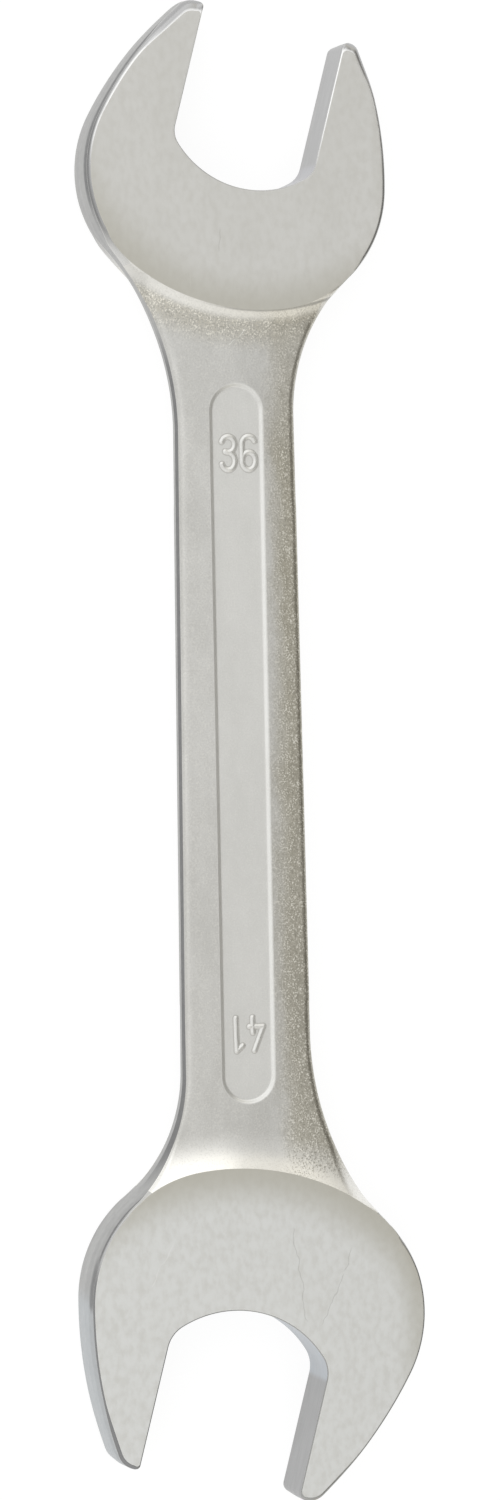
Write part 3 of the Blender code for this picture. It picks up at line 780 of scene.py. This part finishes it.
def edge_rings(outline, top):
    """Rings of points above the parting line, up the wall and over the rounding or slope to below the rim."""
    rings = [point_rows(outline.on_wall(share), outline.wall * share) for share in WALL_SHARES]
    reach = outline.inset + np.sum(outline.cut * outline.normals, axis=1)
    for step in range(1, ROUND_STEPS):
        share = step / ROUND_STEPS
        turn = math.pi / 2 * share
        inward = (1 - outline.flat) * (1 - math.cos(turn)) + outline.flat * share
        rise = (1 - outline.flat) * math.sin(turn) + outline.flat * share
        height = outline.wall + (top - outline.wall) * rise
        # The painted highlight on the rounding fades out as it goes in
        worn = outline.worn * falling(reach * math.cos(turn), *PAINTED_GLINT_INSETS)
        rings.append(point_rows(outline.above_wall(inward), height, worn=worn, rimmed=outline.rimmed))
    return rings


def plan_rows(outline, plan, at_rim, facing):
    worn, rimmed = np.zeros(len(plan)), np.zeros(len(plan))
    for one, index in at_rim.items():
        worn[index] = outline.worn[one]
        rimmed[index] = outline.rimmed[one]
    stroke = stroke_share(plan, facing, *STROKE_MARK_SHARES)
    sunk = panel_distance(plan) < PANEL_WALL + SUNK_MARGIN
    height = surface(outline, plan, facing)
    return point_rows(plan, height, worn=worn, rimmed=rimmed, stroke=stroke, sunk=sunk)


def band(lower, upper, facing):
    count = len(lower)
    pairs = [(i, (i + 1) % count) for i in range(count)]
    return [[lower[i], lower[j], upper[j], upper[i]][::facing] for i, j in pairs]


def band_slots(outline, level):
    """The materials of a band of quads, by how many bands lie below it."""
    if level < len(WALL_SHARES):
        return np.where(outline.jaw, JAW, WALL).tolist()
    return np.where(outline.rimmed > LEAST_RIMMED, RIM, FORGED).tolist()


def plan_slots(plan, triangles):
    off = np.min([np.where(head.holds(plan), head.off(plan), np.inf) for head in HEADS], axis=0)
    return [GROUND if off[list(triangle)].mean() < 0 else FORGED for triangle in triangles]


def forging_parts():
    """The forging's points in its own frame, with their marks, and its faces with their materials."""
    outline = wrench_outline()
    count = len(outline.points)
    rim = outline.above_wall(np.ones(count))
    plan, triangles, at_rim = triangulated(outline, rim)
    tables = [point_rows(outline.points, np.zeros(count))]
    faces, slots = [], []
    total = count
    for facing in (FRONT, BACK):
        rings = edge_rings(outline, surface(outline, rim, facing))
        loops = [range(total + count * level, total + count * (level + 1)) for level in range(len(rings))]
        total += count * len(rings)
        loops.append([total + at_rim[i] for i in range(count)])
        lower = range(count)
        for level, upper in enumerate(loops):
            faces += band(lower, upper, facing)
            slots += band_slots(outline, level)
            lower = upper
        faces += [[total + index for index in triangle][::facing] for triangle in triangles]
        slots += plan_slots(plan, triangles)
        total += len(plan)
        for rows in rings + [plan_rows(outline, plan, at_rim, facing)]:
            rows[:, 2] *= facing
            tables.append(rows)
    return np.vstack(tables), faces, slots


def forging_mesh():
    table, faces, slots = forging_parts()
    mesh = bpy.data.meshes.new("forging")
    mesh.from_pydata(((table[:, :3] + ROW_PLACE) * MM).tolist(), [], faces)
    mesh.polygons.foreach_set("material_index", slots)
    for name, values in zip(MARKS, table[:, 3:].T):
        mesh.attributes.new(name, "FLOAT", "POINT").data.foreach_set("value", np.ascontiguousarray(values))
    mark_sharp(mesh, ROW_PLACE[2] * MM)
    return mesh


def mark_sharp(mesh, parting):
    """Smooth shading, with sharp edges at steep angles and along the parting line."""
    mesh.shade_smooth()
    mesh.set_sharp_from_angle(angle=SHARP_ANGLE)
    heights = np.array([vertex.co.z for vertex in mesh.vertices])
    level = np.abs(heights - parting) < LEVEL_TOLERANCE
    for edge in mesh.edges:
        if level[edge.vertices[0]] and level[edge.vertices[1]]:
            edge.use_edge_sharp = True


def grey(level):
    return (level, level, level)


class Nodes:
    """Shader nodes added to a tree. Most methods give the socket of their result."""

    def __init__(self, tree):
        self.tree = tree

    def node(self, kind, inputs=None, **settings):
        """A node. An input that is a socket is linked, and any other is set, a colour by three numbers."""
        made = self.tree.nodes.new("ShaderNode" + kind)
        for name, value in settings.items():
            setattr(made, name, value)
        for name, value in (inputs or {}).items():
            socket = made.inputs[name]
            if isinstance(value, bpy.types.NodeSocket):
                self.tree.links.new(value, socket)
            else:
                socket.default_value = (*value, 1.0) if socket.type == "RGBA" else value
        return made

    def math(self, operation, *inputs):
        return self.node("Math", dict(enumerate(inputs)), operation=operation).outputs[0]

    def times(self, first, second):
        return self.math("MULTIPLY", first, second)

    def scaled(self, source, factor, offset):
        return self.math("MULTIPLY_ADD", source, factor, offset)

    def most(self, first, *others):
        for other in others:
            first = self.math("MAXIMUM", first, other)
        return first

    def vector(self, operation, first, second):
        return self.node("VectorMath", {0: first, 1: second}, operation=operation).outputs

    def dot(self, first, second):
        return self.vector("DOT_PRODUCT", first, second)["Value"]

    def mixed(self, share, first, second):
        return self.node("Mix", {0: share, 6: first, 7: second}, data_type="RGBA").outputs[2]

    def ranged(self, source, low, high, to_low=0.0, to_high=1.0):
        inputs = {0: source, 1: low, 2: high, 3: to_low, 4: to_high}
        return self.node("MapRange", inputs, interpolation_type="SMOOTHSTEP").outputs[0]

    def along(self, position, *stops):
        """A value that changes along one coordinate, as (coordinate in millimetres, value) pairs in order."""
        total = stops[0][1]
        for (low, before), (high, after) in zip(stops, stops[1:]):
            step = self.ranged(position, low * MM, high * MM, 0.0, after - before)
            total = self.math("ADD", step, total)
        return total


class Finish(Nodes):
    """A metal material in the making, with the place on the forging that its patterns start from."""

    def __init__(self, name):
        self.material = bpy.data.materials.new(name)
        self.material.use_nodes = True
        super().__init__(self.material.node_tree)
        self.shader = self.tree.nodes["Principled BSDF"]
        self.shader.inputs["Metallic"].default_value = 1.0
        self.place = self.node("TexCoord").outputs["Object"]
        self.x, self.y, self.z = self.node("SeparateXYZ", {0: self.place}).outputs

    def mark(self, name):
        return self.node("Attribute", attribute_name=name).outputs["Fac"]

    def noise(self, scale, detail=3.0, roughness=0.5, place=None):
        inputs = {"Vector": place or self.place, "Scale": scale, "Detail": detail, "Roughness": roughness}
        return self.node("TexNoise", inputs).outputs["Fac"]

    def drawn_noise(self, turn, scales, detail, roughness=0.5):
        """Noise with a scale of its own along each axis, turned by an angle in degrees."""
        inputs = {"Vector": self.place, "Rotation": (0, 0, math.radians(turn)), "Scale": scales}
        return self.noise(1.0, detail, roughness, self.node("Mapping", inputs).outputs[0])

    def hairline(self, start, end, width, sway=0.004):
        """1 along a line between two places on a face, and 0 away from it."""
        wander = self.noise(180.0, 2.0)
        start, end = np.array(start) * MM, np.array(end) * MM
        length = float(np.hypot(*(end - start)))
        run = (end - start) / length
        from_start = self.vector("SUBTRACT", self.place, (*start, 0))[0]
        ahead = self.dot(from_start, (*run, 0))
        aside = self.dot(from_start, (-run[1], run[0], 0))
        aside = self.math("ADD", aside, self.scaled(wander, sway, -sway / 2))
        near = self.ranged(self.math("ABSOLUTE", aside), width * MM, 0.0)
        within = self.times(self.ranged(ahead, 0.0, MM), self.ranged(ahead, length, length - MM))
        return self.times(near, within)

    def scratches(self, turn):
        """Sparse hairlines along one direction."""
        lines = self.drawn_noise(turn, (18, 2600, 400), 2.0)
        patches = self.drawn_noise(turn, (60, 120, 60), 1.0)
        return self.times(self.ranged(lines, 0.70, 0.76), self.ranged(patches, 0.62, 0.72))

    def behind_face(self, head):
        """Distance in metres outside the arc that ends a head's ground face on the shank's side."""
        centre = (head.world([head.back_u, 0]) + ROW_PLACE[:2]) * MM
        level = self.vector("MULTIPLY", self.place, (1, 1, 0))[0]
        reach = self.vector("DISTANCE", level, (*centre, 0))["Value"]
        return self.math("SUBTRACT", reach, (head.back_radius - head.edge()) * MM)

    def in_throat(self, head):
        """1 on a head's throat and corners, 0 on the jaw's flats."""
        nut = (np.array(head.nut) + ROW_PLACE[:2]) * MM
        heading = (math.cos(head.heading), math.sin(head.heading), 0)
        ahead = self.dot(self.vector("SUBTRACT", self.place, (*nut, 0))[0], heading)
        return self.ranged(ahead, (head.corner_u + THROAT_BLEND) * MM, (head.corner_u - THROAT_BLEND) * MM)

    def finished(self, tone, rough, height, depth):
        """The material, given its colour and roughness, and a bump of a depth in metres."""
        bump = self.node("Bump", {"Height": height, "Distance": depth, "Strength": 1.0}).outputs[0]
        for name, socket in (("Base Color", tone), ("Roughness", rough), ("Normal", bump)):
            self.tree.links.new(socket, self.shader.inputs[name])
        return self.material


def ground_tone(look, flecks):
    """Satin steel with soft clouds; painted shade makes it darker and browner along the far right edge and
    darker towards the shank.
    """
    clouds = look.drawn_noise(-15, (30, 60, 30), 4.0, 0.6)
    tone = look.mixed(look.ranged(clouds, 0.3, 0.7), (0.620, 0.614, 0.583), (0.650, 0.645, 0.618))
    on_large = look.ranged(look.x, 0.001, -0.001)
    tone = look.mixed(on_large, tone, (0.688, 0.692, 0.671))
    tone = look.mixed(look.ranged(flecks, 0.35, 0.75, 0.0, 0.40), tone, (0.57, 0.56, 0.52))
    # Painted shade along the far right edge, darker and browner
    far_right = look.along(look.y, (-40.5, 0.45), (-33.0, 0.0))
    tone = look.mixed(far_right, tone, (0.45, 0.435, 0.37))
    on_large = look.along(look.behind_face(LARGE), (-12, 0), (0, 1), (1, 1), (3, 0))
    on_small = look.along(look.behind_face(SMALL), (-11, 0), (0, 0.86), (1, 0.86), (3, 0))
    shadow = look.times(look.math("ADD", on_large, on_small), 0.9)
    return look.mixed(shadow, tone, (0.485, 0.470, 0.410))


def ground_steel():
    """The heads' faces: ground, plated, with a fine grain, soft clouds and hairlines."""
    look = Finish("ground_steel")
    flecks = look.drawn_noise(0, (420, 620, 420), 3.0, 0.55)
    grain = look.drawn_noise(0, (900, 2600, 900), 2.0)
    light = look.most(look.scratches(turn=8), *[look.hairline(*ends, width=0.16) for ends in LIGHT_HAIRLINES])
    dark = look.most(*[look.hairline(*ends, width=0.18) for ends in DARK_HAIRLINES])
    tone = look.mixed(look.times(light, 0.35), ground_tone(look, flecks), (0.85, 0.85, 0.83))
    tone = look.mixed(look.times(dark, 0.30), tone, (0.30, 0.29, 0.26))
    rough = look.ranged(flecks, 0.2, 0.8, 0.34, 0.42)
    height = look.math("SUBTRACT", look.times(grain, 0.5), dark)
    return look.finished(tone, rough, height, depth=0.00001)


def skin_tone(look, clouds, right):
    """The forged skin's colour: pale, brown on the right with painted shade there, and a painted highlight on
    the large head's ramp.
    """
    clouded = look.ranged(clouds, 0.3, 0.7)
    pale = look.mixed(clouded, (0.55, 0.545, 0.52), (0.62, 0.615, 0.59))
    brown = look.mixed(clouded, (0.405, 0.380, 0.305), (0.468, 0.443, 0.365))
    tone = look.mixed(right, pale, brown)
    dimmed = look.along(look.x, (-90, 0.32), (60, 0.08), (96, 0.0))
    tone = look.mixed(dimmed, tone, (0.44, 0.43, 0.40))
    # Painted highlight on the large head's ramp
    on_ramp = look.along(look.behind_face(LARGE), (1, 1), (10, 0))
    lit = look.times(on_ramp, look.along(look.y, (-14, 0.88), (-4, 0.5), (2, 0.5), (9, 1.0)))
    return look.mixed(lit, tone, (0.93, 0.92, 0.88))


def speckled(look, tone, specks, pits, peeled):
    """A tone with light pits and dark specks, stronger where the skin is peeled."""
    tone = look.mixed(look.times(pits, 0.7), tone, (0.88, 0.86, 0.78))
    dark = look.times(look.ranged(specks, 0.47, 0.34), look.scaled(peeled, 0.6, 0.14))
    return look.mixed(dark, tone, (0.34, 0.325, 0.275))


def neck_marked(look, tone, arc_distance):
    """A tone with the scratches on the small head's neck, and a line of painted shade in the crease beside
    its ground face.
    """
    for ends in NECK_SCRATCHES:
        scratch = look.times(look.hairline(*ends, width=0.16, sway=0.0015), 0.6)
        tone = look.mixed(scratch, tone, (0.85, 0.85, 0.81))
    # Painted shade along the crease at the edge of the small head's ground face
    line = look.along(arc_distance, (-0.5, 0), (-0.1, 1), (0.1, 1), (0.6, 0))
    crease = look.times(line, look.along(look.y, (-30, 0.6), (0, 0.6), (12, 0.0)))
    return look.mixed(crease, tone, (0.20, 0.195, 0.18))


def panel_marked(look, tone, stroke, sunk, dulled):
    """Paler in the panel, painted shade at the numbers' foot, and a painted highlight on edges that face the
    small head and left.
    """
    tone = look.mixed(look.times(sunk, 0.45), tone, (0.70, 0.70, 0.675))
    # Painted shade round the foot of the raised strokes
    foot = look.times(look.ranged(stroke, 0.02, 0.2), look.ranged(stroke, 0.6, 0.3))
    tone = look.mixed(look.times(foot, 0.45), tone, (0.30, 0.29, 0.26))
    # Painted highlight on slopes that face the small head and the left
    lean = look.dot(look.node("NewGeometry").outputs["Normal"], (0.8, 0.5, 0.0))
    painted_highlight = look.times(dulled, look.ranged(lean, 0.1, 0.4, 0.0, 0.32))
    return look.mixed(painted_highlight, tone, (0.97, 0.97, 0.95))


def forged_steel():
    """The shank: forged skin under plating, with orange peel, more pitted on its right and browner there by
    painted shade.
    """
    look = Finish("forged_steel")
    clouds = look.drawn_noise(0, (50, 120, 50), 5.0, 0.6)
    flecks = look.noise(420.0, 4.0, 0.65)
    specks = look.noise(2500.0, 1.0)
    lumps = look.noise(600.0, 3.0, 0.6)
    arc_distance = look.behind_face(SMALL)
    aside = look.math("ADD", look.y, look.scaled(clouds, 0.008, -0.004))
    on_shank = look.along(look.x, (-104.5, 0.05), (-99.5, 1.0), (66, 1.0), (90, 0.6), (106, 0.4))
    # The shank's right: a mask for painted shade that browns the crown's right half, and for denser pits
    right = look.times(look.ranged(aside, -0.0044, -0.0112), on_shank)

    tone = skin_tone(look, clouds, right)
    # Painted highlight on the small head's ramp, just past its ground face
    tone = look.mixed(look.along(arc_distance, (1.2, 0.38), (2.6, 0)), tone, (0.79, 0.77, 0.71))
    ramp_foot = look.along(arc_distance, (1.4, 0), (3.2, 1), (4.2, 1), (11, 0))
    brown_share = look.times(ramp_foot, look.ranged(specks, 0.35, 0.65, 0.25, 0.75))
    tone = look.mixed(brown_share, tone, (0.44, 0.41, 0.33))
    peeled = look.most(right, ramp_foot)
    pits = look.times(look.ranged(specks, 0.53, 0.63), look.ranged(lumps, 0.32, 0.58))
    pits = look.times(pits, look.scaled(peeled, 0.78, 0.22))
    tone = speckled(look, tone, specks, pits, peeled)
    tone = neck_marked(look, tone, arc_distance)
    stroke, sunk = look.mark("stroke"), look.mark("sunk")
    dulled = look.most(stroke, sunk)
    tone = panel_marked(look, tone, stroke, sunk, dulled)

    look.tree.links.new(look.scaled(dulled, -0.42, 1.0), look.shader.inputs["Metallic"])
    rough = look.ranged(flecks, 0.2, 0.8, 0.30, 0.42)
    lump = look.times(lumps, look.scaled(peeled, 1.0, 0.35))
    height = look.math("SUBTRACT", lump, look.times(pits, 0.2))
    return look.finished(tone, rough, height, depth=0.00006)


def wall_steel():
    """The outer walls: forged skin, with painted shade beside the faces of the heads and on the shank's front
    half.
    """
    look = Finish("wall_steel")
    clouds = look.drawn_noise(0, (60, 60, 250), 4.0, 0.6)
    plain = look.mixed(look.ranged(clouds, 0.3, 0.7), (0.40, 0.40, 0.395), (0.46, 0.46, 0.45))
    cool = look.along(look.x, (-150, 1.0), (-132, 1.0), (-126, 0.0))
    plain = look.mixed(cool, plain, (0.49, 0.51, 0.52))
    height = look.math("SUBTRACT", look.z, ROW_PLACE[2] * MM)
    # Painted shade: dark bands, each by height up the wall and place along the wrench
    bands = (
        (((2.9, 0), (4.1, 1.0)), ((110, 0.2), (128, 0.4), (136, 1.0), (170, 1.0))),
        (((5.2, 0), (6.0, 1), (6.6, 1), (7.2, 0.7)), ((-124, 0.0), (-118, 1.0), (-94, 1.0), (-84, 0.0))),
        (((3.4, 0), (5.0, 1)), ((-134, 0.0), (-130, 0.9), (-123, 0.9), (-116, 0.0))),
        (((-0.05, 0), (0.05, 1)), ((-106, 0.0), (-92, 1.0), (90, 1.0), (106, 0.15), (112, 0))),
    )
    dark = look.most(*[look.times(look.along(height, *up), look.along(look.x, *way)) for up, way in bands])
    tone = look.mixed(look.times(dark, 0.95), plain, grey(0.18))
    peel = look.noise(700.0, 3.0, 0.6)
    return look.finished(tone, look.ranged(peel, 0.2, 0.8, 0.36, 0.5), peel, depth=0.00003)


def jaw_steel():
    """The machined jaws and throats, with fine lines left by the cutter."""
    look = Finish("jaw_steel")
    clouds = look.noise(60.0, 3.0)
    lines = look.drawn_noise(0, (150, 150, 1800), 2.0)
    small = look.mixed(look.in_throat(SMALL), grey(0.475), (0.53, 0.53, 0.55))
    large = look.mixed(look.in_throat(LARGE), grey(0.385), (0.49, 0.52, 0.55))
    tone = look.mixed(look.ranged(look.x, -0.001, 0.001), large, small)
    tone = look.mixed(look.ranged(clouds, 0.3, 0.7, 0.0, 0.3), tone, grey(0.46))
    return look.finished(tone, look.ranged(lines, 0.2, 0.8, 0.34, 0.46), lines, depth=0.000006)


def rim_steel():
    """The heads' rims, with a painted highlight along parts of the edge."""
    look = Finish("rim_steel")
    nicks = look.noise(350.0, 3.0, 0.6)
    # Painted highlight where the rim is marked for it, broken up by nicks
    bright = look.times(look.mark("worn"), look.ranged(nicks, 0.25, 0.5, 0.8, 1.0))
    # Painted shade: rims on the left darker than those on the right
    plain = look.mixed(look.ranged(look.y, 0.0, 0.01), (0.33, 0.33, 0.32), grey(0.22))
    plain = look.mixed(look.along(look.x, (148, 0), (164, 0.8)), plain, grey(0.46))
    tone = look.mixed(look.mark("rimmed"), (0.585, 0.58, 0.555), plain)
    tone = look.mixed(bright, tone, (0.97, 0.97, 0.96))
    return look.finished(tone, look.ranged(nicks, 0.3, 0.7, 0.22, 0.34), nicks, depth=0.00001)


def make_forging():
    mesh = forging_mesh()
    piece = bpy.data.objects.new("forging", mesh)
    bpy.context.scene.collection.objects.link(piece)
    for material in (ground_steel(), forged_steel(), wall_steel(), jaw_steel(), rim_steel()):
        mesh.materials.append(material)
    weighted = piece.modifiers.new("Weighted normals", "WEIGHTED_NORMAL")
    weighted.keep_sharp = True
    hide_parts("wrench_forging")
    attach(piece, "root")


# Stage
FLOOR_SIZE = 40.0
FLOOR_GLOW = 0.88
FLOOR_DIFFUSE = 0.16
FLOOR_INDIRECT = 0.8
CAMERA_PLACE = (0.0388, 0.33873, 1.1573)
CAMERA_RIGHT = (-0.01935, -0.95841, 0.28473)
CAMERA_BACK = (0.0314, 0.28406, 0.95829)
CAMERA_LENS = 119.088
CAMERA_SENSOR = 36
CAMERA_REACH = 20


def make_floor():
    """A pale floor: it shows white to the camera and in reflections, and keeps the soft shadow."""
    bpy.ops.mesh.primitive_plane_add(size=FLOOR_SIZE)
    floor = bpy.context.object
    floor.name = "floor"
    material = bpy.data.materials.new("floor")
    material.use_nodes = True
    tree = material.node_tree
    tree.nodes.remove(tree.nodes["Principled BSDF"])
    nodes = Nodes(tree)
    paths = nodes.node("LightPath").outputs
    seen = nodes.most(paths["Is Camera Ray"], paths["Is Glossy Ray"], paths["Is Transmission Ray"])
    pale = nodes.node("BsdfDiffuse", {"Color": grey(FLOOR_INDIRECT)}).outputs[0]
    kept = nodes.node("BsdfDiffuse", {"Color": grey(FLOOR_DIFFUSE)}).outputs[0]
    glow = nodes.node("Emission", {"Color": grey(1), "Strength": FLOOR_GLOW}).outputs[0]
    white = nodes.node("AddShader", {0: kept, 1: glow}).outputs[0]
    shown = nodes.node("MixShader", {0: seen, 1: pale, 2: white}).outputs[0]
    tree.links.new(shown, tree.nodes["Material Output"].inputs["Surface"])
    floor.data.materials.append(material)


def make_light():
    """A plain studio: soft light all round, brighter from the ends, weaker and warmer from the right."""
    world = bpy.data.worlds.new("studio")
    world.use_nodes = True
    bpy.context.scene.world = world
    nodes = Nodes(world.node_tree)
    x, y, _ = nodes.node("SeparateXYZ", {0: nodes.node("TexCoord").outputs["Generated"]}).outputs
    warm = (1.1, 1.07, 1.0)
    tone = nodes.mixed(nodes.ranged(y, 0.55, 0.9), grey(1.04), grey(1.2))
    tone = nodes.mixed(nodes.ranged(y, -0.34, -0.62), tone, (0.30, 0.29, 0.27))
    small_end = nodes.mixed(nodes.ranged(y, 0.0, -0.5), grey(1.4), warm)
    tone = nodes.mixed(nodes.ranged(x, 0.40, 0.75), tone, small_end)
    large_end = nodes.mixed(nodes.ranged(y, 0.1, -0.5), grey(1.25), warm)
    tone = nodes.mixed(nodes.ranged(x, -0.45, -0.75), tone, large_end)
    world.node_tree.links.new(tone, world.node_tree.nodes["Background"].inputs["Color"])


def make_camera():
    camera = bpy.data.cameras.new("camera")
    camera.lens = CAMERA_LENS
    camera.sensor_width = CAMERA_SENSOR
    camera.clip_end = CAMERA_REACH
    placed = bpy.data.objects.new("camera", camera)
    bpy.context.scene.collection.objects.link(placed)
    back = Vector(CAMERA_BACK).normalized()
    up = back.cross(Vector(CAMERA_RIGHT)).normalized()
    right = up.cross(back)
    turned = Matrix((right, up, back)).transposed().to_4x4()
    turned.translation = CAMERA_PLACE
    placed.matrix_world = turned
    bpy.context.scene.camera = placed


make_forging()
make_floor()
make_light()
make_camera()
bpy.context.scene.view_settings.view_transform = "Standard"

bpy.context.view_layer.update()
